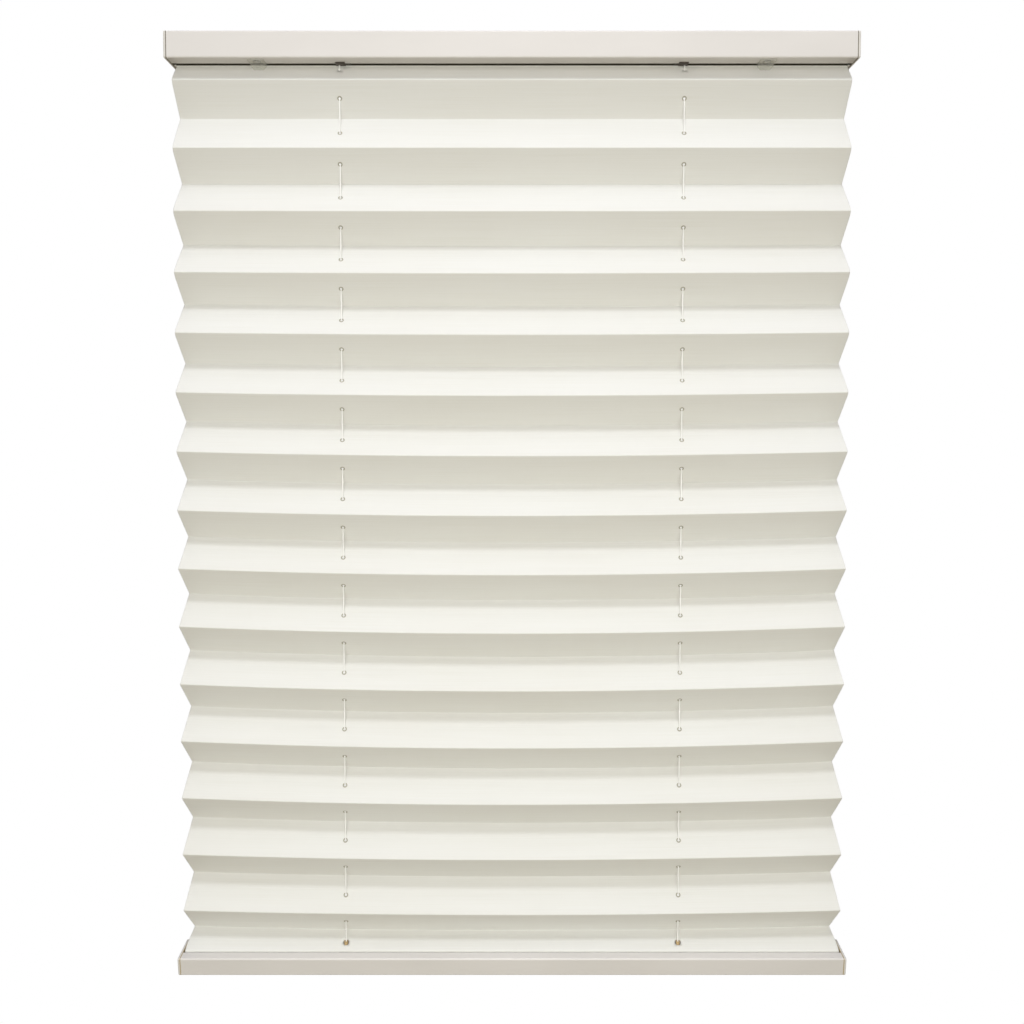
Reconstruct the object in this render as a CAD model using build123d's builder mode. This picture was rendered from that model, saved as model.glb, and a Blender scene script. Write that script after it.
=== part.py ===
"""Pleated blind on two aluminium rails, lowered, with a tensioned cord near each side.

Frame: origin at the centre of the headrail's top face, X along the rails, Y to the back, Z up.
Units are millimetres. The blind hangs below the origin.
"""

from build123d import *
import os
from math import cos, radians, sin, sqrt

os.makedirs("parts", exist_ok=True)

# ---------------------------------------------------------------- driving dimensions

# Overall
rail_length = 698.0  # both rails, over their end caps
hang_height = 922.0  # headrail's underside to the middle of the bottom rail's top face

# Headrail: a lipped channel, open below
head_depth = 38.0
head_height = 27.0
head_wall = 1.2
head_slot = 7.0
head_corner = 1.6

# Bottom rail: a lipped channel, open above, hanging slightly turned towards the room
foot_depth = 31.0
foot_height = 19.5
foot_wall = 1.2
foot_slot = 12.0
foot_corner = 1.6
foot_tilt = 7.5  # degrees, back edge up
foot_y = -4.0  # middle of the top face

# End caps
cap_plate = 3.0
cap_chamfer = 0.5
tongue_length = 9.0
tongue_thick = 1.8
tongue_clear = 0.2

# Fabric: one sheet, folded to and fro
sheet_thick = 0.4
fabric_setback = 4.5  # each side edge, in from the rails' ends
facet = 38.1  # width of one flat between two creases
open_share = 0.80  # how far the pleats hang open, as a share of a flat sheet
first_extra = 0.10  # the first pleat opens this much more than the rest
first_fade = 0.30  # how quickly that extra dies away
opening_slope = 0.003  # each pleat opens this much less than the one above
crease_radius = 0.7  # at the middle of the sheet
pleat_y = -0.5  # middle of the pleats, front to back
first_drop = 18.3  # headrail's underside to the first front crease
last_drop = 15.1  # last back crease to the middle of the bottom rail's top face
flap_gap = 0.25  # between a glued flap and the lips that hold it
glue_gap = 0.1  # between a flap and its strip
head_exit_y = 2.0  # where the sheet leaves the headrail's slot
head_exit_drop = 1.6  # how far it hangs straight below the lips
head_flap = 8.0
foot_exit_u = -4.5  # where it enters the bottom rail, front of the slot's middle
foot_exit_rise = 0.8
foot_flap = 7.5

# Stiffening strips that the two ends of the sheet are glued to
strip_thick = 1.6
head_strip_width = 24.0
foot_strip_width = 25.0
strip_end_clear = 1.0
notch_clear = 0.6

# Cords
cord_diameter = 1.3
cord_inset = 173.0  # in from the rails' ends
cord_y = -1.0
cord_high_drop = 13.0  # upper run, below the headrail's top
cord_low_drop = 12.5  # lower run, below the middle of the bottom rail's top face
turn_radius = 8.0
fabric_hole = 5.0
last_hole = 6.6  # round the spout of the bottom guide

# Guides that turn the cords
bore = 2.0
guide_skin = 3.2  # material round the bore, along the rail
head_guide_front = 4.2  # in front of the cord
head_guide_back = 1.6  # behind the cord
guide_flange = 1.2
flange_front = 6.5
slot_clear = 0.2
spout_diameter = 4.2
spout_height = 6.6  # above the middle of the bottom rail's top face
foot_guide_width = 12.0

# Clear clips on the headrail's front lip, with a hole for the fixing screw's driver
clip_inset = 91.0
clip_width = 16.0
clip_plate = 1.8
clip_reach = 13.0  # forward of the slot's front edge, below the lip
clip_hook = 11.0  # forward of the slot's front edge, above the lip
clip_neck = 2.2
clip_grip = 4.2
clip_taper = 3.0
grip_clear = 0.1  # between the grip and the sheet's first flat
access_hole = 8.0
screw_hole = 4.2
screw_y = -9.0

# Tension spring and the knots at the cords' ends
spring_length = 62.0
spring_radius = 3.0
spring_wire = 0.7
spring_pitch = 2.6
knot_diameter = 3.6
knot_length = 3.0
knot_face = 0.9
knot_pocket = 4.6
knot_pocket_depth = 1.8

# ---------------------------------------------------------------- places worked out from them

channel_length = rail_length - 2 * cap_plate
fabric_width = rail_length - 2 * fabric_setback
cord_x = rail_length / 2 - cord_inset
clip_x = rail_length / 2 - clip_inset

head_under = -head_height
head_lip_top = head_under + head_wall
head_inside_top = -head_wall
foot_z = head_under - hang_height

tilt_cos = cos(radians(foot_tilt))
tilt_sin = sin(radians(foot_tilt))

cord_high_z = -cord_high_drop
cord_low_z = foot_z - cord_low_drop

head_flap_z = head_lip_top + flap_gap + sheet_thick / 2
head_strip_z = head_flap_z + sheet_thick / 2 + glue_gap
foot_flap_w = -foot_wall - flap_gap - sheet_thick / 2
foot_strip_w = foot_flap_w - sheet_thick / 2 - glue_gap

SIDES = ((-1, "left"), (1, "right"))


def foot_point(u, w):
    """A point of the bottom rail's section: u to the back and w up, from the middle of its top face."""
    return (foot_y + u * tilt_cos - w * tilt_sin, foot_z + u * tilt_sin + w * tilt_cos)


def head_plane(x):
    """The headrail's cross-section at x, from the middle of its top face: local x back, local y up."""
    return Plane(origin=(x, 0, 0), x_dir=(0, 1, 0), z_dir=(1, 0, 0))


def foot_plane(x):
    """The bottom rail's cross-section at x, in the rail's own tilt."""
    return Plane(origin=(x, foot_y, foot_z), x_dir=(0, tilt_cos, tilt_sin), z_dir=(1, 0, 0))


def save(block, label):
    """Labels a finished piece and writes it."""
    block.part.label = label
    export_step(block.part, "parts/" + label + ".step")


def draw_channel(depth, height, wall, slot, corner, slot_face):
    """Draws a lipped channel below the sketch's origin; slot_face is the height of its slotted side."""
    with Locations((0, -height / 2)):
        RectangleRounded(depth, height, corner)
        RectangleRounded(depth - 2 * wall, height - 2 * wall, corner / 2, mode=Mode.SUBTRACT)
    with Locations((0, slot_face)):
        Rectangle(slot, 4 * wall, mode=Mode.SUBTRACT)


def draw_block(low, high):
    """Draws the rectangle between two corners."""
    with Locations(((low[0] + high[0]) / 2, (low[1] + high[1]) / 2)):
        Rectangle(high[0] - low[0], high[1] - low[1])


def outer_face(block, side):
    """The face of a piece that is furthest out along X on the given side."""
    return block.faces().sort_by(Axis.X)[0 if side < 0 else -1]


def cord_route(side):
    """Corners of a cord's run: bottom cap, bottom guide, headrail guide, spring."""
    return [
        (side * (rail_length / 2 - knot_pocket_depth), cord_y, cord_low_z),
        (side * cord_x, cord_y, cord_low_z),
        (side * cord_x, cord_y, cord_high_z),
        (side * (spring_length / 2 + knot_length / 2), cord_y, cord_high_z),
    ]


# ---------------------------------------------------------------- the pleats' creases

fold_span = hang_height - first_drop - last_drop
open_pitch = 2 * facet * open_share
pleat_count = round(fold_span / open_pitch + 0.5)
opening = [1 - opening_slope * n + first_extra * first_fade**n for n in range(pleat_count)]
pitch_scale = fold_span / (sum(opening[:-1]) + opening[-1] / 2)
pitches = [share * pitch_scale for share in opening]
pleat_depths = [sqrt(facet**2 - (pitch / 2) ** 2) for pitch in pitches]


def sheet_path():
    """Middle of the sheet's thickness, from its top flap to its bottom flap, as (y, z)."""
    points = [
        (head_exit_y + head_flap, head_flap_z),
        (head_exit_y, head_flap_z),
        (head_exit_y, head_under - head_exit_drop),
    ]
    z = head_under - first_drop
    depth_above = pleat_depths[0]
    for pitch, depth in zip(pitches, pleat_depths):
        points.append((pleat_y - (depth_above + depth) / 4, z))
        points.append((pleat_y + depth / 2, z - pitch / 2))
        z -= pitch
        depth_above = depth
    points.append(foot_point(foot_exit_u, foot_exit_rise))
    points.append(foot_point(foot_exit_u, foot_flap_w))
    points.append(foot_point(foot_exit_u - foot_flap, foot_flap_w))
    return [Vector(y, z) for y, z in points]


def sheet_side(points, side):
    """One face of the sheet as mitred corners and their radii; side is 1 for the left of the path."""
    half = side * sheet_thick / 2
    corners = []
    radii = []
    for n, point in enumerate(points):
        before = (point - points[n - 1]).normalized() if n > 0 else None
        after = (points[n + 1] - point).normalized() if n < len(points) - 1 else None
        start = before or after
        end = after or before
        normals = Vector(-start.Y, start.X) + Vector(-end.Y, end.X)
        corners.append(point + normals * (half * 2 / normals.length**2))
        if before and after:
            turn = before.X * after.Y - before.Y * after.X
            radii.append(crease_radius - half if turn > 0 else crease_radius + half)
    return corners, radii


def cord_crossings(points):
    """Where the sheet crosses the cords' line between the rails, with the sheet's normal there."""
    crossings = []
    for start, end in zip(points, points[1:]):
        if start.Y > head_under and end.Y > head_under:
            continue
        if end.Y < foot_z or (start.X - cord_y) * (end.X - cord_y) >= 0:
            continue
        share = (cord_y - start.X) / (end.X - start.X)
        run = (end - start).normalized()
        crossings.append((start.Y + share * (end.Y - start.Y), Vector(0, -run.Y, run.X)))
    return crossings


# ---------------------------------------------------------------- headrail

with BuildPart() as headrail:
    with BuildSketch(head_plane(0)):
        draw_channel(head_depth, head_height, head_wall, head_slot, head_corner, head_under)
    extrude(amount=channel_length / 2, both=True)
    with Locations((-clip_x, screw_y, -head_wall / 2), (clip_x, screw_y, -head_wall / 2)):
        Cylinder(screw_hole / 2, 4 * head_wall, mode=Mode.SUBTRACT)
    with Locations((-clip_x, screw_y, head_under), (clip_x, screw_y, head_under)):
        Cylinder(access_hole / 2, 4 * head_wall, mode=Mode.SUBTRACT)
save(headrail, "headrail")

tongue_front = head_depth / 2 - head_wall - tongue_clear
for side, side_name in SIDES:
    plate_x = side * (rail_length / 2 - cap_plate / 2)
    tongue_x = side * (rail_length / 2 - cap_plate - tongue_length / 2)
    with BuildPart() as headrail_cap:
        with BuildSketch(head_plane(plate_x)):
            with Locations((0, -head_height / 2)):
                RectangleRounded(head_depth, head_height, head_corner)
        extrude(amount=cap_plate / 2, both=True)
        chamfer(outer_face(headrail_cap, side).edges(), cap_chamfer)
        with BuildSketch(head_plane(tongue_x)):
            low = head_lip_top + head_corner
            high = head_inside_top - tongue_clear
            draw_block((-tongue_front, low), (-tongue_front + tongue_thick, high - head_corner))
            draw_block((tongue_front - tongue_thick, low), (tongue_front, high - head_corner))
            draw_block(
                (-tongue_front + head_corner, high - tongue_thick),
                (tongue_front - head_corner, high),
            )
        extrude(amount=tongue_length / 2, both=True)
    save(headrail_cap, "headrail_cap_" + side_name)

# The sheet's top flap is glued under this strip, which lies across the headrail's lips
guide_length = turn_radius + 2 * guide_skin
with BuildPart() as top_strip:
    with BuildSketch(head_plane(0)):
        draw_block(
            (-head_strip_width / 2, head_strip_z),
            (head_strip_width / 2, head_strip_z + strip_thick),
        )
    extrude(amount=fabric_width / 2 - strip_end_clear, both=True)
    for side, side_name in SIDES:
        guide_middle = side * (cord_x - guide_length / 2 + guide_skin)
        for middle, width, back in (
            (guide_middle, guide_length, cord_y + head_guide_back),
            (side * clip_x, clip_width, -head_slot / 2 + clip_neck),
        ):
            with BuildSketch(head_plane(middle)):
                draw_block(
                    (-head_strip_width, head_strip_z - strip_thick),
                    (back + notch_clear, head_strip_z + 2 * strip_thick),
                )
            extrude(amount=width / 2 + notch_clear, both=True, mode=Mode.SUBTRACT)
save(top_strip, "top_strip")

# ---------------------------------------------------------------- clips and headrail guides

slot_front = -head_slot / 2
for side, side_name in SIDES:
    with BuildPart() as rail_clip:
        with BuildSketch(head_plane(side * clip_x)):
            neck_front = slot_front + slot_clear
            neck_back = slot_front + clip_neck
            draw_block((slot_front - clip_reach, head_under - clip_plate), (neck_back, head_under))
            draw_block((slot_front - clip_hook, head_lip_top), (neck_back, head_lip_top + clip_plate))
            draw_block((neck_front, head_under - clip_plate), (neck_back, head_lip_top + clip_plate))
            draw_block(
                (neck_back - clip_plate, head_under - clip_plate - clip_grip),
                (neck_back, head_under),
            )
        extrude(amount=clip_width / 2, both=True)
        grip_ends = rail_clip.edges().filter_by(Axis.Y).group_by(Axis.Z)[0]
        chamfer(grip_ends, clip_taper)
        with Locations((side * clip_x, screw_y, head_under)):
            Cylinder(access_hole / 2, 8 * clip_plate, mode=Mode.SUBTRACT)
        exit_point, first_crease = sheet_path()[2:4]
        run = (first_crease - exit_point).normalized()
        towards_clip = Vector(run.Y, -run.X)
        edge = towards_clip * (sheet_thick / 2 + grip_clear)
        behind = towards_clip * -clip_reach
        with BuildSketch(head_plane(side * clip_x)):
            with BuildLine():
                Polyline(
                    exit_point + edge,
                    first_crease + edge,
                    first_crease + behind,
                    exit_point + behind,
                    close=True,
                )
            make_face()
        extrude(amount=clip_width, both=True, mode=Mode.SUBTRACT)
    save(rail_clip, "rail_clip_" + side_name)

for side, side_name in SIDES:
    guide_out = side * (cord_x + guide_skin)
    with BuildPart() as headrail_guide:
        with BuildSketch(head_plane(guide_out)):
            back = cord_y + head_guide_back
            draw_block((cord_y - head_guide_front, head_lip_top), (back, cord_high_z + guide_skin))
            draw_block((slot_front + slot_clear, head_under), (back, head_lip_top))
        extrude(amount=-side * guide_length)
        with BuildSketch(head_plane(guide_out)):
            draw_block((cord_y - flange_front, head_under - guide_flange), (back, head_under))
        extrude(amount=-side * 3 * guide_skin)
        with BuildLine() as guide_route:
            FilletPolyline(*cord_route(side), radius=turn_radius)
        with BuildSketch(Plane(origin=guide_route.line @ 0, z_dir=guide_route.line % 0)):
            Circle(bore / 2)
        sweep(path=guide_route.line, mode=Mode.SUBTRACT)
    save(headrail_guide, "headrail_guide_" + side_name)

# ---------------------------------------------------------------- pleated fabric

path = sheet_path()
left_corners, left_radii = sheet_side(path, 1)
right_corners, right_radii = sheet_side(path, -1)
with BuildPart() as pleated_fabric:
    with BuildSketch(head_plane(0)):
        with BuildLine():
            left_face = FilletPolyline(*left_corners, radius=left_radii)
            right_face = FilletPolyline(*right_corners, radius=right_radii)
            Line(left_face @ 0, right_face @ 0)
            Line(left_face @ 1, right_face @ 1)
        make_face()
    extrude(amount=fabric_width / 2, both=True)
    crossings = cord_crossings(path)
    for chosen, hole in ((crossings[:-1], fabric_hole), (crossings[-1:], last_hole)):
        places = [
            Plane(origin=(side * cord_x, cord_y, z), x_dir=(1, 0, 0), z_dir=normal)
            for side, side_name in SIDES
            for z, normal in chosen
        ]
        with Locations(*places):
            Cylinder(hole / 2, 10 * sheet_thick, mode=Mode.SUBTRACT)
save(pleated_fabric, "pleated_fabric")

# ---------------------------------------------------------------- bottom rail

with BuildPart() as bottom_rail:
    with BuildSketch(foot_plane(0)):
        draw_channel(foot_depth, foot_height, foot_wall, foot_slot, foot_corner, 0)
    extrude(amount=channel_length / 2, both=True)
    with Locations((-cord_x, cord_y, foot_z), (cord_x, cord_y, foot_z)):
        Cylinder(spout_diameter / 2 + notch_clear / 2, 4 * foot_wall, mode=Mode.SUBTRACT)
save(bottom_rail, "bottom_rail")

foot_front = foot_depth / 2 - foot_wall - tongue_clear
for side, side_name in SIDES:
    plate_x = side * (rail_length / 2 - cap_plate / 2)
    tongue_x = side * (rail_length / 2 - cap_plate - tongue_length / 2)
    with BuildPart() as bottom_cap:
        with BuildSketch(foot_plane(plate_x)):
            with Locations((0, -foot_height / 2)):
                RectangleRounded(foot_depth, foot_height, foot_corner)
        extrude(amount=cap_plate / 2, both=True)
        chamfer(outer_face(bottom_cap, side).edges(), cap_chamfer)
        with BuildSketch(foot_plane(tongue_x)):
            low = -foot_height + foot_wall + tongue_clear
            high = foot_strip_w - strip_thick - tongue_clear
            draw_block((-foot_front, low + foot_corner), (-foot_front + tongue_thick, high))
            draw_block((foot_front - tongue_thick, low + foot_corner), (foot_front, high))
            draw_block((-foot_front + foot_corner, low), (foot_front - foot_corner, low + tongue_thick))
        extrude(amount=tongue_length / 2, both=True)
        with Locations(Location((plate_x, cord_y, cord_low_z), (0, 90, 0))):
            Cylinder(bore / 2, 2 * cap_plate, mode=Mode.SUBTRACT)
        pocket_x = side * (rail_length / 2)
        with Locations(Location((pocket_x, cord_y, cord_low_z), (0, 90, 0))):
            Cylinder(knot_pocket / 2, 2 * knot_pocket_depth, mode=Mode.SUBTRACT)
    save(bottom_cap, "bottom_cap_" + side_name)

# The sheet's bottom flap is glued on this strip, which is held under the bottom rail's lips
with BuildPart() as bottom_strip:
    with BuildSketch(foot_plane(0)):
        draw_block(
            (-foot_strip_width / 2, foot_strip_w - strip_thick),
            (foot_strip_width / 2, foot_strip_w),
        )
    extrude(amount=fabric_width / 2 - strip_end_clear, both=True)
    with Locations((-cord_x, cord_y, foot_z), (cord_x, cord_y, foot_z)):
        Cylinder(spout_diameter / 2 + notch_clear / 2, 8 * strip_thick, mode=Mode.SUBTRACT)
save(bottom_strip, "bottom_strip")

for side, side_name in SIDES:
    guide_in = side * (cord_x - guide_skin)
    spout_top = foot_z + spout_height
    spout_base = foot_z - foot_height / 2
    with BuildPart() as bottom_guide:
        with BuildSketch(foot_plane(guide_in)):
            cord_u = (cord_y - foot_y) / tilt_cos
            draw_block(
                (cord_u - foot_guide_width / 2, -foot_height + foot_wall),
                (cord_u + foot_guide_width / 2, foot_strip_w - strip_thick),
            )
        extrude(amount=side * guide_length)
        with BuildSketch(Plane.XY.offset(spout_base)):
            with Locations((side * cord_x, cord_y)):
                Circle(spout_diameter / 2)
        extrude(amount=spout_top - spout_base)
        with BuildLine() as guide_route:
            FilletPolyline(*cord_route(side), radius=turn_radius)
        with BuildSketch(Plane(origin=guide_route.line @ 0, z_dir=guide_route.line % 0)):
            Circle(bore / 2)
        sweep(path=guide_route.line, mode=Mode.SUBTRACT)
    save(bottom_guide, "bottom_guide_" + side_name)

# ---------------------------------------------------------------- cords, knots and spring

for side, side_name in SIDES:
    with BuildPart() as cord:
        with BuildLine() as route:
            FilletPolyline(*cord_route(side), radius=turn_radius)
        with BuildSketch(Plane(origin=route.line @ 0, z_dir=route.line % 0)):
            Circle(cord_diameter / 2)
        sweep(path=route.line)
    save(cord, "cord_" + side_name)
    cord_length = sum(edge.length for edge in route.edges())
    print("cord", side_name, "length", round(cord_length, 1), "bends", turn_radius)

for side, side_name in SIDES:
    low_end = side * (rail_length / 2 - knot_pocket_depth + knot_length / 2)
    high_end = side * spring_length / 2
    for x, z, label in (
        (low_end, cord_low_z, "cord_knot_" + side_name),
        (high_end, cord_high_z, "spring_knot_" + side_name),
    ):
        axis = Axis((x, cord_y, z), (1, 0, 0))
        with BuildPart() as knot:
            with BuildSketch(Plane.XZ.offset(-cord_y)):
                with BuildLine():
                    belly = ThreePointArc(
                        (x - knot_length / 2, z + knot_face),
                        (x, z + knot_diameter / 2),
                        (x + knot_length / 2, z + knot_face),
                    )
                    Polyline(
                        belly @ 1,
                        (x + knot_length / 2, z),
                        (x - knot_length / 2, z),
                        belly @ 0,
                    )
                make_face()
            revolve(axis=axis)
        save(knot, label)

with BuildPart() as tension_spring:
    with BuildLine() as coil:
        Helix(
            spring_pitch,
            spring_length,
            spring_radius - spring_wire / 2,
            center=(-spring_length / 2, cord_y, cord_high_z),
            direction=(1, 0, 0),
        )
    with BuildSketch(Plane(origin=coil.line @ 0, z_dir=coil.line % 0)):
        Circle(spring_wire / 2)
    sweep(path=coil.line, is_frenet=True)
save(tension_spring, "tension_spring")

flat_height = sum((b - a).length for a, b in zip(path, path[1:]))
print("front creases", pleat_count, "sheet", round(fabric_width, 1), "x", round(flat_height, 1))
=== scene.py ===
"""A pleated blind, lowered, seen square from the front in soft studio light.

Metres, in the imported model's frame: origin at the middle of the headrail's top face, X along the rails,
Y to the back and Z up. The rails, caps, clips, guides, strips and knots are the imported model's own pieces
with finished materials. The pleated sheet and the two cords are modelled here.
"""

import math

import bmesh
import bpy
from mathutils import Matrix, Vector


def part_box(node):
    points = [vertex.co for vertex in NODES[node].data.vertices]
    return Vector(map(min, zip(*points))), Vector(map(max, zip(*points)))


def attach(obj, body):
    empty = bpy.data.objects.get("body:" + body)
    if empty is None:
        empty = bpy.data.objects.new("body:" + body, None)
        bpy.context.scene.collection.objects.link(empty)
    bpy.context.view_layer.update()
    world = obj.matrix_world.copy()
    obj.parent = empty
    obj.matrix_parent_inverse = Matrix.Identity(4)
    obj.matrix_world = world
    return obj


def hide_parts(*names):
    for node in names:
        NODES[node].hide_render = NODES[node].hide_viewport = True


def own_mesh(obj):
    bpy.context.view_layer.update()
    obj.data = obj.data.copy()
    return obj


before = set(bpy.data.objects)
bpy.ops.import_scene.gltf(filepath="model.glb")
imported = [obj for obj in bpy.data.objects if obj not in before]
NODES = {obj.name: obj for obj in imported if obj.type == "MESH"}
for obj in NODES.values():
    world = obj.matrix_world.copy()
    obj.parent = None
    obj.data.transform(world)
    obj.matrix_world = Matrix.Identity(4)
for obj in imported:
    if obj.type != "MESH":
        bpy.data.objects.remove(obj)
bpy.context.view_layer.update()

MM = 0.001


def add_object(name, data):
    """A new object in the scene."""
    obj = bpy.data.objects.new(name, data)
    bpy.context.scene.collection.objects.link(obj)
    return obj


# ---------------------------------------------------------------- places read from the frame

def corners(node):
    """A node's box as two tuples."""
    low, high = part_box(node)
    return tuple(low), tuple(high)


HEAD_LOW, HEAD_HIGH = corners("headrail")
SHEET_LOW, SHEET_HIGH = corners("pleated_fabric")
CORD_LOW, CORD_HIGH = corners("cord_right")

SHEET_THICK = 0.4 * MM
SHEET_HALF_WIDTH = SHEET_HIGH[0]
CORD_DIAMETER = CORD_HIGH[1] - CORD_LOW[1]
CORD_Y = (CORD_HIGH[1] + CORD_LOW[1]) / 2
CORD_TOP_Z = CORD_HIGH[2] - CORD_DIAMETER / 2
CORD_FOOT_Z = CORD_LOW[2] + CORD_DIAMETER / 2
CORD_X = 176 * MM  # the upright runs, each side of the middle


# ---------------------------------------------------------------- the folded sheet's section

FACET = 38.1 * MM  # one flat between two creases
OPEN_SHARE = 0.80  # how far the pleats hang open, as a share of a flat sheet
FIRST_EXTRA = 0.10  # the first pleat opens this much more than the rest
FIRST_FADE = 0.30  # how quickly that extra dies away
OPENING_SLOPE = 0.003  # each pleat opens this much less than the one above
PLEAT_Y = -0.5 * MM  # middle of the pleats, front to back
FIRST_DROP = 18.3 * MM  # headrail's underside to the first front crease
LAST_DROP = 15.1 * MM  # last back crease to the middle of the bottom rail's top face
HANG_HEIGHT = 922 * MM  # headrail's underside to the middle of the bottom rail's top face
CREASE_RADIUS = 0.7 * MM

# Where the sheet passes the headrail's slot, and its flap above
HEAD_EXIT_Y = 2.0 * MM
HEAD_EXIT_DROP = 1.6 * MM
HEAD_FLAP_END_Y = 10.0 * MM
HEAD_FLAP_RISE = 1.65 * MM

# The bottom rail's top face, and where the sheet passes its slot, with its flap below
FOOT_TILT = math.radians(7.5)
FOOT_Y = -4 * MM
FOOT_Z = HEAD_LOW[2] - HANG_HEIGHT
FOOT_EXIT_U = -4.5 * MM
FOOT_EXIT_RISE = 0.8 * MM
FOOT_FLAP_END_U = -12.0 * MM
FOOT_FLAP_DROP = 1.65 * MM


def foot_point(u, w):
    """A point of the bottom rail's section: u to the back and w up, from the middle of its top face."""
    c, s = math.cos(FOOT_TILT), math.sin(FOOT_TILT)
    return (FOOT_Y + u * c - w * s, FOOT_Z + u * s + w * c)


def crease_points():
    """Middle of the sheet from its top flap to its bottom flap, as (y, z)."""
    top = HEAD_LOW[2]
    points = [
        (HEAD_FLAP_END_Y, top + HEAD_FLAP_RISE),
        (HEAD_EXIT_Y, top + HEAD_FLAP_RISE),
        (HEAD_EXIT_Y, top - HEAD_EXIT_DROP),
    ]
    span = HANG_HEIGHT - FIRST_DROP - LAST_DROP
    count = round(span / (2 * FACET * OPEN_SHARE) + 0.5)
    opening = [1 - OPENING_SLOPE * n + FIRST_EXTRA * FIRST_FADE**n for n in range(count)]
    scale = span / (sum(opening[:-1]) + opening[-1] / 2)
    z = top - FIRST_DROP
    depth_above = None
    for share in opening:
        pitch = share * scale
        depth = math.sqrt(FACET**2 - (pitch / 2) ** 2)
        depth_above = depth_above or depth
        points.append((PLEAT_Y - (depth_above + depth) / 4, z))
        points.append((PLEAT_Y + depth / 2, z - pitch / 2))
        z -= pitch
        depth_above = depth
    points.append(foot_point(FOOT_EXIT_U, FOOT_EXIT_RISE))
    points.append(foot_point(FOOT_EXIT_U, -FOOT_FLAP_DROP))
    points.append(foot_point(FOOT_FLAP_END_U, -FOOT_FLAP_DROP))
    return [Vector(p) for p in points]


# ---------------------------------------------------------------- node-based materials

# Painted shade: the cloth is darkened round the cord holes, standing in for the shade seen through them.
HOLE_SHADE_ATTRIBUTE = "hole_painted_shade"
HOLE_SHADE_BROWN = (0.46, 0.43, 0.33)
JOINT_WIDTH = 0.9 * MM
HEAD_JOINT_DARK = (0.17, 0.15, 0.12)
FOOT_JOINT_DARK = (0.42, 0.33, 0.18)
CLOTH_GLOW = 0.3  # share of the cloth's light that comes through it
CLEAR_SHARE = 0.8  # share of the light that passes straight through the clips
YARN_WAVE = 240.0  # the wave texture's scale, at which its bands are 1.3 mm apart


def new_material(name):
    """An empty node tree with a Principled shader; returns (material, nodes, links, shader)."""
    material = bpy.data.materials.new(name)
    material.use_nodes = True
    nodes = material.node_tree.nodes
    return material, nodes, material.node_tree.links, nodes["Principled BSDF"]


def noise(nodes, links, coords, scale, detail=3.0, stretch=(1, 1, 1)):
    """A noise texture over the given coordinates, stretched along an axis."""
    mapping = nodes.new("ShaderNodeMapping")
    mapping.inputs["Scale"].default_value = stretch
    texture = nodes.new("ShaderNodeTexNoise")
    texture.inputs["Scale"].default_value = scale
    texture.inputs["Detail"].default_value = detail
    links.new(coords, mapping.inputs["Vector"])
    links.new(mapping.outputs["Vector"], texture.inputs["Vector"])
    return texture.outputs["Fac"]


def ramp(nodes, links, value, stops):
    """A colour ramp with the given (position, colour) stops."""
    node = nodes.new("ShaderNodeValToRGB")
    elements = node.color_ramp.elements
    elements[0].position, elements[0].color = stops[0][0], (*stops[0][1], 1)
    elements[1].position, elements[1].color = stops[-1][0], (*stops[-1][1], 1)
    for position, colour in stops[1:-1]:
        elements.new(position).color = (*colour, 1)
    links.new(value, node.inputs["Fac"])
    return node.outputs["Color"]


def span(nodes, links, value, low, high):
    """The value, taken from 0..1 to low..high."""
    node = nodes.new("ShaderNodeMapRange")
    node.inputs["To Min"].default_value = low
    node.inputs["To Max"].default_value = high
    links.new(value, node.inputs["Value"])
    return node.outputs["Result"]


def bump(nodes, links, height, distance, strength=1.0, base=None):
    """A bump of the given height in metres, on top of another if there is one."""
    node = nodes.new("ShaderNodeBump")
    node.inputs["Distance"].default_value = distance
    node.inputs["Strength"].default_value = strength
    links.new(height, node.inputs["Height"])
    if base is not None:
        links.new(base, node.inputs["Normal"])
    return node.outputs["Normal"]


def object_coords(nodes):
    """Position in metres, the same in every view."""
    return nodes.new("ShaderNodeTexCoord").outputs["Object"]


def powder_coat():
    """Off-white satin powder coat on aluminium: faint orange peel, slight mottling."""
    material, nodes, links, shader = new_material("powder_coat")
    coords = object_coords(nodes)
    mottle = noise(nodes, links, coords, 26, 4, (0.35, 1, 1))
    colour = ramp(nodes, links, mottle, [(0.3, (0.680, 0.652, 0.622)), (0.7, (0.710, 0.681, 0.652))])
    links.new(colour, shader.inputs["Base Color"])
    peel = noise(nodes, links, coords, 1500, 2)
    links.new(span(nodes, links, mottle, 0.38, 0.5), shader.inputs["Roughness"])
    links.new(bump(nodes, links, peel, 0.00003, 0.5), shader.inputs["Normal"])
    return material


def moulded(name, dark, light, rough, joint_colour=None):
    """Moulded plastic with a fine spark-eroded grain. An end cap is darker in its joint with the rail."""
    material, nodes, links, shader = new_material(name)
    coords = object_coords(nodes)
    cloud = noise(nodes, links, coords, 90, 3)
    colour = ramp(nodes, links, cloud, [(0.3, dark), (0.7, light)])
    if joint_colour is not None:
        colour = joint_line(nodes, links, coords, colour, joint_colour)
    links.new(colour, shader.inputs["Base Color"])
    links.new(span(nodes, links, cloud, rough - 0.06, rough + 0.06), shader.inputs["Roughness"])
    grain = noise(nodes, links, coords, 3000, 2)
    links.new(bump(nodes, links, grain, 0.00003, 0.6), shader.inputs["Normal"])
    return material


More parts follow.
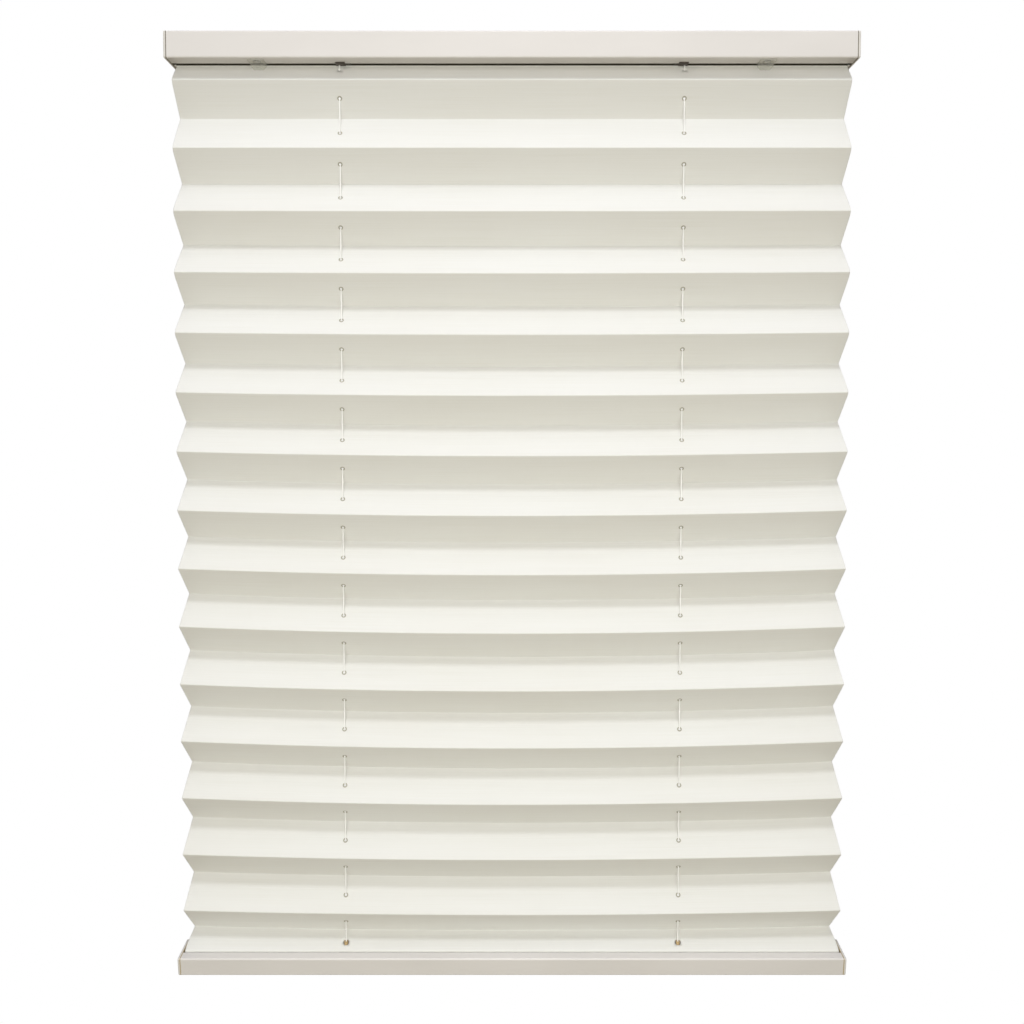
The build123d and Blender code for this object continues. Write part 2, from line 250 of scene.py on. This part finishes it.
def joint_line(nodes, links, coords, colour, joint_colour):
    """The cap's colour, and a darker colour in the joint beside the end of the rail."""
    split = nodes.new("ShaderNodeSeparateXYZ")
    links.new(coords, split.inputs["Vector"])
    away = nodes.new("ShaderNodeMath")
    away.operation = "ABSOLUTE"
    links.new(split.outputs["X"], away.inputs[0])
    inside = nodes.new("ShaderNodeMath")
    inside.operation = "LESS_THAN"
    links.new(away.outputs[0], inside.inputs[0])
    inside.inputs[1].default_value = HEAD_HIGH[0] + JOINT_WIDTH
    mix = nodes.new("ShaderNodeMix")
    mix.data_type = "RGBA"
    links.new(inside.outputs[0], mix.inputs["Factor"])
    links.new(colour, mix.inputs["A"])
    mix.inputs["B"].default_value = (*joint_colour, 1)
    return mix.outputs["Result"]


def clear_plastic():
    """Clear moulded plastic, slightly cloudy, with flow lines."""
    material, nodes, links, shader = new_material("clear_plastic")
    coords = object_coords(nodes)
    flow = noise(nodes, links, coords, 160, 3, (1, 1, 0.3))
    links.new(
        ramp(nodes, links, flow, [(0.35, (0.80, 0.80, 0.77)), (0.7, (0.88, 0.88, 0.86))]),
        shader.inputs["Base Color"],
    )
    links.new(span(nodes, links, flow, 0.12, 0.24), shader.inputs["Roughness"])
    links.new(bump(nodes, links, flow, 0.0001, 0.4), shader.inputs["Normal"])
    shader.inputs["IOR"].default_value = 1.49
    passing = nodes.new("ShaderNodeBsdfTransparent")
    passing.inputs["Color"].default_value = (0.97, 0.97, 0.95, 1)
    blend = nodes.new("ShaderNodeMixShader")
    blend.inputs["Fac"].default_value = CLEAR_SHARE
    links.new(shader.outputs["BSDF"], blend.inputs[1])
    links.new(passing.outputs["BSDF"], blend.inputs[2])
    links.new(blend.outputs["Shader"], nodes["Material Output"].inputs["Surface"])
    return material


def spring_steel():
    """Drawn spring wire, lightly oiled."""
    material, nodes, links, shader = new_material("spring_steel")
    coords = object_coords(nodes)
    streak = noise(nodes, links, coords, 700, 3, (0.2, 1, 1))
    links.new(
        ramp(nodes, links, streak, [(0.3, (0.42, 0.41, 0.4)), (0.7, (0.6, 0.59, 0.58))]),
        shader.inputs["Base Color"],
    )
    links.new(span(nodes, links, streak, 0.22, 0.4), shader.inputs["Roughness"])
    shader.inputs["Metallic"].default_value = 1.0
    return material


def cord_braid():
    """White braided polyester: a diagonal over-and-under pattern of yarns."""
    material, nodes, links, shader = new_material("cord_braid")
    coords = object_coords(nodes)
    dust = noise(nodes, links, coords, 60, 3)
    links.new(
        ramp(nodes, links, dust, [(0.3, (0.90, 0.89, 0.86)), (0.7, (0.95, 0.94, 0.92))]),
        shader.inputs["Base Color"],
    )
    shader.inputs["Roughness"].default_value = 0.75
    shader.inputs["Sheen Weight"].default_value = 0.15
    fuzz = noise(nodes, links, coords, 4200, 3)
    links.new(bump(nodes, links, fuzz, 0.00005, 0.7), shader.inputs["Normal"])
    return material


def pleat_cloth():
    """Stiffened cream polyester: close woven yarns, slub streaks along the pleats, some light let through."""
    material, nodes, links, shader = new_material("pleat_cloth")
    coords = nodes.new("ShaderNodeUVMap").outputs["UV"]
    slub = noise(nodes, links, coords, 1.0, 4, (9, 900, 1))
    cloud = noise(nodes, links, coords, 7, 3, (0.6, 1, 1))
    shades = [(0.25, (0.905, 0.905, 0.875)), (0.5, (0.93, 0.93, 0.907)), (0.8, (0.945, 0.945, 0.925))]
    base = ramp(nodes, links, slub, shades)
    tint = ramp(nodes, links, cloud, [(0.3, (0.985, 0.98, 0.97)), (0.7, (1.0, 1.0, 1.0))])
    mix = nodes.new("ShaderNodeMix")
    mix.data_type = "RGBA"
    mix.blend_type = "MULTIPLY"
    mix.inputs["Factor"].default_value = 1.0
    links.new(base, mix.inputs["A"])
    links.new(tint, mix.inputs["B"])
    # Painted shade: the colour and the light let through are darkened towards each cord hole.
    hole_shade_input = nodes.new("ShaderNodeAttribute")
    hole_shade_input.attribute_name = HOLE_SHADE_ATTRIBUTE
    cloth_colour = shaded_at_holes(nodes, links, mix.outputs["Result"], hole_shade_input.outputs["Fac"])
    links.new(cloth_colour, shader.inputs["Base Color"])
    shader.inputs["Roughness"].default_value = 0.82
    shader.inputs["Sheen Weight"].default_value = 0.08
    weave = weave_height(nodes, links, coords)
    fine = bump(nodes, links, weave, 0.00006, 0.6)
    normal = bump(nodes, links, slub, 0.0002, 0.35, fine)
    links.new(normal, shader.inputs["Normal"])
    through = nodes.new("ShaderNodeBsdfTranslucent")
    warm = ramp(nodes, links, slub, [(0.25, (0.90, 0.88, 0.80)), (0.8, (0.93, 0.92, 0.86))])
    links.new(shaded_at_holes(nodes, links, warm, hole_shade_input.outputs["Fac"]), through.inputs["Color"])
    blend = nodes.new("ShaderNodeMixShader")
    blend.inputs["Fac"].default_value = CLOTH_GLOW
    links.new(shader.outputs["BSDF"], blend.inputs[1])
    links.new(through.outputs["BSDF"], blend.inputs[2])
    links.new(blend.outputs["Shader"], nodes["Material Output"].inputs["Surface"])
    return material


def shaded_at_holes(nodes, links, colour, share):
    """The colour, multiplied by the painted shade's brown round the cord holes in the given share."""
    mix = nodes.new("ShaderNodeMix")
    mix.data_type = "RGBA"
    mix.blend_type = "MULTIPLY"
    links.new(share, mix.inputs["Factor"])
    links.new(colour, mix.inputs["A"])
    mix.inputs["B"].default_value = (*HOLE_SHADE_BROWN, 1)
    return mix.outputs["Result"]


def slot_painted_shadow():
    """Painted shadow: a near-black colour on the sheet's top flap inside the headrail's slot, for the shade
    in the slot's gap.
    """
    material, nodes, links, shader = new_material("slot_painted_shadow")
    coords = object_coords(nodes)
    cloud = noise(nodes, links, coords, 120, 3, (0.3, 1, 1))
    links.new(
        ramp(nodes, links, cloud, [(0.3, (0.020, 0.015, 0.010)), (0.7, (0.035, 0.027, 0.018))]),
        shader.inputs["Base Color"],
    )
    shader.inputs["Roughness"].default_value = 0.7
    return material


def weave_height(nodes, links, coords):
    """Plain weave: two crossed sets of slightly uneven yarns, as a height from 0 to 0.5."""
    waves = []
    for axis in ("X", "Y"):
        wave = nodes.new("ShaderNodeTexWave")
        wave.bands_direction = axis
        wave.inputs["Scale"].default_value = YARN_WAVE
        wave.inputs["Distortion"].default_value = 0.6
        wave.inputs["Detail"].default_value = 1.0
        links.new(coords, wave.inputs["Vector"])
        waves.append(wave.outputs["Fac"])
    node = nodes.new("ShaderNodeMath")
    node.operation = "ADD"
    links.new(waves[0], node.inputs[0])
    links.new(waves[1], node.inputs[1])
    return span(nodes, links, node.outputs[0], 0.0, 0.5)


RAIL_EDGE = 0.35 * MM
CAP_EDGE = 0.4 * MM
BROKEN_EDGE_ANGLE = math.radians(40)


def break_edges(names, width):
    """Takes the sharp edges off CAD nodes."""
    for name in names:
        bevel = NODES[name].modifiers.new("broken_edges", "BEVEL")
        bevel.width = width
        bevel.segments = 2
        bevel.limit_method = "ANGLE"
        bevel.angle_limit = BROKEN_EDGE_ANGLE


def dress(names, material):
    """Gives CAD nodes a material."""
    for name in names:
        mesh = NODES[name].data
        mesh.materials.clear()
        mesh.materials.append(material)


# ---------------------------------------------------------------- the pleated sheet

# How far the sheet hangs below its straight section. Drops are shares of the hanging height.
SAG_DEPTH = 7.4 * MM
SAG_START = 0.07
SAG_GROWTH = 0.62
SAG_EASE = 0.38  # how much of it the bottom rail takes out again
SAG_EASE_START = 0.78
SAG_EASE_LENGTH = 0.2
SAG_END = 0.983
SAG_ACROSS = 0.76  # the sag turns to a rise where x squared is this share of the half width's square

# How far the cut side edges stand in and out
EDGE_FREE = 0.82
EDGE_INSET = 2.6 * MM
EDGE_INSET_GROWTH = 1.2 * MM
EDGE_FLARE = 1.2 * MM
LAST_CREASE_SHARE = 1 - LAST_DROP / HANG_HEIGHT

# The punched holes, and the rings round them as (radius, share of painted shade round the hole)
HOLE_RADIUS = 2.5 * MM
HOLE_OPENING = 1.25 * MM
LAST_HOLE_RADIUS = 3.3 * MM
FIRST_HOLE_RINGS = [(HOLE_OPENING, 0.0)]
HOLE_RINGS = [(1.08 * HOLE_RADIUS, 0.0), (0.9 * HOLE_RADIUS, 0.8), (HOLE_OPENING, 1.0)]
LAST_HOLE_RINGS = [(LAST_HOLE_RADIUS, 0.0)]

# The sheet's grid
SLOT_SHADOW_DROP = 0.2 * MM  # the painted shadow on the top flap ends this far below the headrail's lips
SHEET_COLUMNS = 52
EDGE_COLUMNS = (0.6 * MM, 2.5 * MM)  # extra columns, in from each side edge
HOLE_PATCH = 5.0 * MM
HOLE_STEPS = 8
PATCH_CLEAR = 0.35  # the least space between a patch and a free column, as a share of their spacing
CREASE_STEPS = 4
FACET_ROWS = 5
SHORT_FLAT = 6 * MM


def smooth(value):
    """0 to 1 with gentle ends."""
    value = min(max(value, 0.0), 1.0)
    return value * value * (3 - 2 * value)


def sag(x, z):
    """How far the sheet hangs below its straight section, by place: most in the lower middle."""
    drop = (HEAD_LOW[2] - z) / HANG_HEIGHT
    if drop <= 0 or drop >= 1:
        return 0.0
    ease_in = smooth((drop - SAG_START) / SAG_GROWTH)
    ease_out = 1 - SAG_EASE * smooth((drop - SAG_EASE_START) / SAG_EASE_LENGTH)
    last = 1 - smooth((drop - SAG_END) / (1 - SAG_END))
    across = SAG_ACROSS - (x / SHEET_HALF_WIDTH) ** 2
    return SAG_DEPTH * ease_in * ease_out * last * across


def edge_pull(x, y, z):
    """How far the cut side edges stand in at a place: the back creases draw them in, the front ones flare."""
    near_edge = smooth((abs(x) / SHEET_HALF_WIDTH - EDGE_FREE) / (1 - EDGE_FREE))
    depth = SHEET_HIGH[1] - SHEET_LOW[1]
    back = min(max((y - SHEET_LOW[1]) / depth, 0.0), 1.0)
    drop = (HEAD_LOW[2] - z) / HANG_HEIGHT
    inset = back * (EDGE_INSET + EDGE_INSET_GROWTH * drop) - (1 - back) * EDGE_FLARE * (1 - drop)
    above_foot = 1 - smooth((drop - LAST_CREASE_SHARE) / (1 - LAST_CREASE_SHARE))
    return math.copysign(inset * near_edge * above_foot, x)


def round_crease(before, corner, after, radius):
    """Points along the arc that replaces a corner of the sheet's section."""
    to_before = (before - corner).normalized()
    to_after = (after - corner).normalized()
    half = to_before.angle(to_after) / 2
    reach = radius / math.tan(half)
    centre = corner + (to_before + to_after).normalized() * (radius / math.sin(half))
    start = corner + to_before * reach - centre
    end = corner + to_after * reach - centre
    points = []
    for n in range(CREASE_STEPS + 1):
        t = n / CREASE_STEPS
        spoke = start.lerp(end, t)
        points.append(centre + spoke.normalized() * radius)
    return points


def crosses_cord(a, b):
    """Where a flat between two creases meets the cords' line, as a share of the flat, or None."""
    if a.y > HEAD_LOW[2] and b.y > HEAD_LOW[2]:
        return None
    if b.y < FOOT_Z or (a.x - CORD_Y) * (b.x - CORD_Y) >= 0:
        return None
    return (CORD_Y - a.x) / (b.x - a.x)


def sheet_rows():
    """Rows of the sheet's grid as (distance along the cloth, point), and each hole's distance along it."""
    creases = crease_points()
    rows, holes = [], []
    along = 0.0
    rounded = [[creases[0]]]
    for n in range(1, len(creases) - 1):
        rounded.append(round_crease(creases[n - 1], creases[n], creases[n + 1], CREASE_RADIUS))
    rounded.append([creases[-1]])
    for n, arc in enumerate(rounded):
        for k, point in enumerate(arc):
            if rows:
                along += (point - rows[-1][1]).length
            rows.append((along, point))
        if n == len(rounded) - 1:
            break
        start, end = arc[-1], rounded[n + 1][0]
        length = (end - start).length
        share = crosses_cord(start, end)
        if share is None:
            count = 3 if length > SHORT_FLAT else 2
            places = [length * k / count for k in range(1, count)]
        else:
            middle = share * length
            holes.append(along + middle)
            patch = [middle + HOLE_PATCH * (2 * k / HOLE_STEPS - 1) for k in range(HOLE_STEPS + 1)]
            above = [patch[0] * k / FACET_ROWS for k in range(1, FACET_ROWS)]
            rest = length - patch[-1]
            below = [patch[-1] + rest * k / FACET_ROWS for k in range(1, FACET_ROWS)]
            places = above + patch + below
        for place in places:
            rows.append((along + place, start.lerp(end, place / length)))
        along += places[-1]
    return rows, holes


def sheet_columns():
    """Positions of the grid's columns along X, fine beside the two rows of holes."""
    patches = []
    for side in (-1, 1):
        steps = range(HOLE_STEPS + 1)
        patches += [side * CORD_X + HOLE_PATCH * (2 * k / HOLE_STEPS - 1) for k in steps]
    step = 2 * SHEET_HALF_WIDTH / SHEET_COLUMNS
    free = [-SHEET_HALF_WIDTH + step * k for k in range(SHEET_COLUMNS + 1)]
    reach = HOLE_PATCH + PATCH_CLEAR * step
    free = [x for x in free if abs(abs(x) - CORD_X) > reach]
    edges = [side * (SHEET_HALF_WIDTH - inset) for side in (-1, 1) for inset in EDGE_COLUMNS]
    return sorted(patches + free + edges)


def make_sheet():
    """The whole pleated sheet as one surface with punched holes, thickened by a modifier."""
    rows, holes = sheet_rows()
    columns = sheet_columns()
    width = len(columns)
    verts, uvs, hole_shade = [], [], []
    for along, point in rows:
        for x in columns:
            z = point.y - sag(x, point.y)
            verts.append((x - edge_pull(x, point.x, z), point.x, z))
            uvs.append((x, along))
            hole_shade.append(0.0)
    patches, patch_cells = find_patches(rows, columns, holes)
    faces = []
    for r in range(len(rows) - 1):
        for c in range(width - 1):
            if (r, c) not in patch_cells:
                a = r * width + c
                faces.append((a, a + 1, a + width + 1, a + width))
    for first, left, hole, side in patches:
        rings = HOLE_RINGS
        if hole == holes[0]:
            rings = FIRST_HOLE_RINGS
        elif hole == holes[-1]:
            rings = LAST_HOLE_RINGS
        faces += ring_faces(verts, uvs, hole_shade, rows, columns, first, left, hole, side, rings)
    mesh = bpy.data.meshes.new("pleated_sheet")
    mesh.from_pydata(verts, [], faces)
    # The painted shade round the cord holes, as a point attribute.
    mesh.attributes.new(HOLE_SHADE_ATTRIBUTE, "FLOAT", "POINT").data.foreach_set("value", hole_shade)
    layer = mesh.uv_layers.new(name="UVMap")
    for loop in mesh.loops:
        layer.data[loop.index].uv = uvs[loop.vertex_index]
    sheet = add_object(mesh.name, mesh)
    clean_mesh(mesh, used={v for face in faces for v in face})
    # Painted shadow: the top flap's faces take the second, near-black material, for the shade in the
    # headrail's slot.
    for polygon in mesh.polygons:
        if polygon.center.z > HEAD_LOW[2] - SLOT_SHADOW_DROP:
            polygon.material_index = 1
    thicken = sheet.modifiers.new("thickness", "SOLIDIFY")
    thicken.thickness = SHEET_THICK
    thicken.offset = 0.0
    return sheet, rows[-1][0]


def find_patches(rows, columns, holes):
    """The square patch round each hole as (first row, left column, hole, side), and all their cells."""
    patches, cells = [], set()
    for hole in holes:
        first = min(range(len(rows)), key=lambda r: abs(rows[r][0] - (hole - HOLE_PATCH)))
        for side in (-1, 1):
            left = min(range(len(columns)), key=lambda c: abs(columns[c] - (side * CORD_X - HOLE_PATCH)))
            patches.append((first, left, hole, side))
            cells |= {(first + r, left + c) for r in range(HOLE_STEPS) for c in range(HOLE_STEPS)}
    return patches, cells


def ring_faces(verts, uvs, hole_shade, rows, columns, first, left, hole, side, rings):
    """Fills the square patch round a hole with rings of (radius, share of painted shade), from the square in
    to the hole.
    """
    width = len(columns)
    steps = HOLE_STEPS
    border = [(first, left + k) for k in range(steps)]
    border += [(first + k, left + steps) for k in range(steps)]
    border += [(first + steps, left + steps - k) for k in range(steps)]
    border += [(first + steps - k, left) for k in range(steps)]
    outer = [r * width + c for r, c in border]
    centre_x = side * CORD_X
    loops = [outer]
    for radius, ring_shade in rings:
        loop = []
        for index in outer:
            x, along = uvs[index]
            dx, ds = x - centre_x, along - hole
            keep = radius / math.hypot(dx, ds)
            new_x, new_along = centre_x + dx * keep, hole + ds * keep
            y, z = place_on_sheet(rows, new_along, first)
            verts.append((new_x, y, z - sag(new_x, z)))
            uvs.append((new_x, new_along))
            hole_shade.append(ring_shade)
            loop.append(len(verts) - 1)
        loops.append(loop)
    faces = []
    for outside, inside in zip(loops, loops[1:]):
        count = len(outside)
        for k in range(count):
            n = (k + 1) % count
            faces.append((outside[k], outside[n], inside[n], inside[k]))
    return faces


def place_on_sheet(rows, along, first):
    """(y, z) at a distance along the cloth, on the flat whose patch starts at row first."""
    a, b = rows[first], rows[first + HOLE_STEPS]
    t = (along - a[0]) / (b[0] - a[0])
    point = a[1].lerp(b[1], t)
    return point.x, point.y


def clean_mesh(mesh, used=None):
    """Smooth faces with their normals outwards, and only the used points where those are given."""
    bm = bmesh.new()
    bm.from_mesh(mesh)
    if used is not None:
        bm.verts.ensure_lookup_table()
        loose = [v for v in bm.verts if v.index not in used]
        bmesh.ops.delete(bm, geom=loose, context="VERTS")
    bmesh.ops.recalc_face_normals(bm, faces=bm.faces)
    bm.to_mesh(mesh)
    bm.free()
    for polygon in mesh.polygons:
        polygon.use_smooth = True


# ---------------------------------------------------------------- cords

CORD_TURN = 8.0 * MM
TURN_STEPS = 12
CORD_STEP = 1.2 * MM
CORD_SIDES = 12
YARN_RELIEF = 0.07 * MM
YARN_SWELL = 0.08 * MM
YARN_PITCH = 2.4 * MM


def cord_line(side):
    """The cord's route as dense points: bottom cap, bottom guide, headrail guide, spring."""
    route = [
        Vector((side * CORD_HIGH[0], CORD_Y, CORD_FOOT_Z)),
        Vector((side * CORD_X, CORD_Y, CORD_FOOT_Z)),
        Vector((side * CORD_X, CORD_Y, CORD_TOP_Z)),
        Vector((side * CORD_LOW[0], CORD_Y, CORD_TOP_Z)),
    ]
    path = [route[0]]
    for before, corner, after in zip(route, route[1:], route[2:]):
        u, v = (before - corner).normalized(), (after - corner).normalized()
        centre = corner + (u + v) * CORD_TURN
        for k in range(TURN_STEPS + 1):
            angle = math.pi / 2 * k / TURN_STEPS
            path.append(centre - v * CORD_TURN * math.cos(angle) - u * CORD_TURN * math.sin(angle))
    path.append(route[-1])
    dense = []
    for a, b in zip(path, path[1:]):
        count = max(1, round((b - a).length / CORD_STEP))
        dense += [a.lerp(b, k / count) for k in range(count)]
    return dense + [path[-1]]


def make_cord(side, name):
    """A braided cord: a tube whose skin rises and falls with two crossed sets of yarns."""
    line = cord_line(side)
    verts, faces = [], []
    along = 0.0
    for n, point in enumerate(line):
        ahead = line[min(n + 1, len(line) - 1)] - line[max(n - 1, 0)]
        tangent = ahead.normalized()
        across = Vector((0, 1, 0))
        other = tangent.cross(across)
        if n:
            along += (point - line[n - 1]).length
        turn = 2 * math.pi * along / YARN_PITCH
        for k in range(CORD_SIDES):
            angle = 2 * math.pi * k / CORD_SIDES
            weave = math.sin(2 * angle + turn) * math.sin(2 * angle - turn)
            radius = CORD_DIAMETER / 2 + YARN_SWELL - YARN_RELIEF * (0.5 - 0.5 * weave)
            verts.append(point + across * (radius * math.cos(angle)) + other * (radius * math.sin(angle)))
    for n in range(len(line) - 1):
        for k in range(CORD_SIDES):
            m = (k + 1) % CORD_SIDES
            a, b = n * CORD_SIDES, (n + 1) * CORD_SIDES
            faces.append((a + k, a + m, b + m, b + k))
    faces.append(tuple(reversed(range(CORD_SIDES))))
    faces.append(tuple(range((len(line) - 1) * CORD_SIDES, len(line) * CORD_SIDES)))
    mesh = bpy.data.meshes.new(name)
    mesh.from_pydata(verts, [], faces)
    clean_mesh(mesh)
    return add_object(name, mesh)


# ---------------------------------------------------------------- stage, lights and camera

CAMERA_DISTANCE = 950 * MM  # in front of the headrail
CAMERA_Z = -384.2 * MM
CAMERA_PITCH = math.radians(2.46)
CAMERA_LENS = 32.81
CAMERA_SHIFT = -0.0557
CAMERA_NEAR = 0.05
CAMERA_FAR = 60
SENSOR_WIDTH = 36.0
FLOOR_Z = -1.9
FLOOR_HALF = 14.0


def lit_and_seen(nodes, links, lit, seen, output):
    """Gives the output one shader for lighting the object, and another for what the camera sees."""
    ray = nodes.new("ShaderNodeLightPath")
    mix = nodes.new("ShaderNodeMixShader")
    links.new(ray.outputs["Is Camera Ray"], mix.inputs["Fac"])
    links.new(lit, mix.inputs[1])
    links.new(seen, mix.inputs[2])
    links.new(mix.outputs["Shader"], output.inputs["Surface"])


def make_stage():
    """A plain warm floor under the hanging blind, which the camera sees as white."""
    mesh = bpy.data.meshes.new("floor")
    square = ((-1, -1), (1, -1), (1, 1), (-1, 1))
    mesh.from_pydata([(x * FLOOR_HALF, y * FLOOR_HALF, FLOOR_Z) for x, y in square], [], [(0, 1, 2, 3)])
    floor = add_object("floor", mesh)
    material, nodes, links, shader = new_material("floor")
    shader.inputs["Base Color"].default_value = (0.34, 0.29, 0.21, 1)
    shader.inputs["Roughness"].default_value = 0.9
    seen = nodes.new("ShaderNodeEmission")
    lit_and_seen(nodes, links, shader.outputs["BSDF"], seen.outputs["Emission"], nodes["Material Output"])
    mesh.materials.append(material)


def area_light(name, place, aim, size, power, colour):
    """A square soft box pointed at aim."""
    data = bpy.data.lights.new(name, "AREA")
    data.size = size
    data.energy = power
    data.color = colour
    light = add_object(name, data)
    light.location = place
    light.rotation_mode = "QUATERNION"
    light.rotation_quaternion = (Vector(aim) - Vector(place)).to_track_quat("-Z", "Y")


def make_lights():
    """Two lights high in front, two wide fills level with the blind, and a white surround."""
    area_light("key", (0.0, -1.30, 2.20), (0, 0, -0.45), 0.36, 33.0, (0.93, 0.96, 1.02))
    area_light("overhead", (0.0, -0.50, 1.80), (0, 0, -0.5), 0.40, 5.6, (0.98, 0.955, 1.03))
    area_light("front", (0.0, -1.6, -0.72), (0, 0, -0.5), 0.90, 12.8, (0.985, 0.985, 0.875))
    area_light("upper", (0.0, -1.6, 0.1), (0, 0, -0.5), 0.90, 7.6, (0.99, 0.97, 0.97))
    world = bpy.data.worlds.new("studio")
    bpy.context.scene.world = world
    world.use_nodes = True
    nodes, links = world.node_tree.nodes, world.node_tree.links
    seen = nodes["Background"]
    seen.inputs["Color"].default_value = (1, 1, 1, 1)
    seen.inputs["Strength"].default_value = 1.0
    lit = nodes.new("ShaderNodeBackground")
    lit.inputs["Color"].default_value = (0.98, 0.965, 0.98, 1)
    lit.inputs["Strength"].default_value = 0.34
    lit_and_seen(nodes, links, lit.outputs["Background"], seen.outputs["Background"], nodes["World Output"])


def make_camera():
    """Square on to the blind, level with its upper half and looking very slightly down."""
    data = bpy.data.cameras.new("camera")
    data.lens = CAMERA_LENS
    data.sensor_width = SENSOR_WIDTH
    data.shift_y = CAMERA_SHIFT
    data.clip_start = CAMERA_NEAR
    data.clip_end = CAMERA_FAR
    camera = add_object("camera", data)
    camera.location = (0, HEAD_LOW[1] - CAMERA_DISTANCE, CAMERA_Z)
    camera.rotation_euler = (math.pi / 2 - CAMERA_PITCH, 0, 0)
    bpy.context.scene.camera = camera
    bpy.context.scene.view_settings.view_transform = "Standard"
    bpy.context.scene.view_settings.look = "None"


# ---------------------------------------------------------------- putting it together

make_camera()
make_stage()
make_lights()

coat = powder_coat()
cap_colours = ((0.66, 0.635, 0.59), (0.70, 0.675, 0.63))
head_cap_plastic = moulded("head_cap_plastic", *cap_colours, 0.42, HEAD_JOINT_DARK)
foot_cap_plastic = moulded("foot_cap_plastic", *cap_colours, 0.42, FOOT_JOINT_DARK)
strip_plastic = moulded("strip_plastic", (0.70, 0.68, 0.62), (0.78, 0.76, 0.7), 0.5)
dark_plastic = moulded("dark_plastic", (0.035, 0.026, 0.018), (0.06, 0.045, 0.032), 0.45)
brown_plastic = moulded("brown_plastic", (0.42, 0.29, 0.13), (0.54, 0.39, 0.20), 0.45)
braid = cord_braid()

dress(["headrail", "bottom_rail"], coat)
break_edges(["headrail", "bottom_rail"], RAIL_EDGE)
break_edges([n for n in NODES if "_cap_" in n], CAP_EDGE)
dress([n for n in NODES if n.startswith("headrail_cap")], head_cap_plastic)
dress([n for n in NODES if n.startswith("bottom_cap")], foot_cap_plastic)
dress(["top_strip", "bottom_strip"], strip_plastic)
dress([n for n in NODES if n.startswith("rail_clip")], clear_plastic())
dress([n for n in NODES if n.startswith("headrail_guide")], dark_plastic)
dress([n for n in NODES if n.startswith("bottom_guide")], brown_plastic)
dress([n for n in NODES if "_knot_" in n], braid)
dress(["tension_spring"], spring_steel())

# The soft pieces stand for their CAD nodes, and hang from the headrail.
sheet, flat_length = make_sheet()
sheet.data.materials.append(pleat_cloth())
# The second material is the painted shadow in the headrail's slot.
sheet.data.materials.append(slot_painted_shadow())
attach(sheet, "headrail")
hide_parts("pleated_fabric")
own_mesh(sheet)

for side, name in ((-1, "left"), (1, "right")):
    cord = make_cord(side, "tension_cord_" + name)
    cord.data.materials.append(braid)
    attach(cord, "headrail")
    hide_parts("cord_" + name)
    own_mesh(cord)
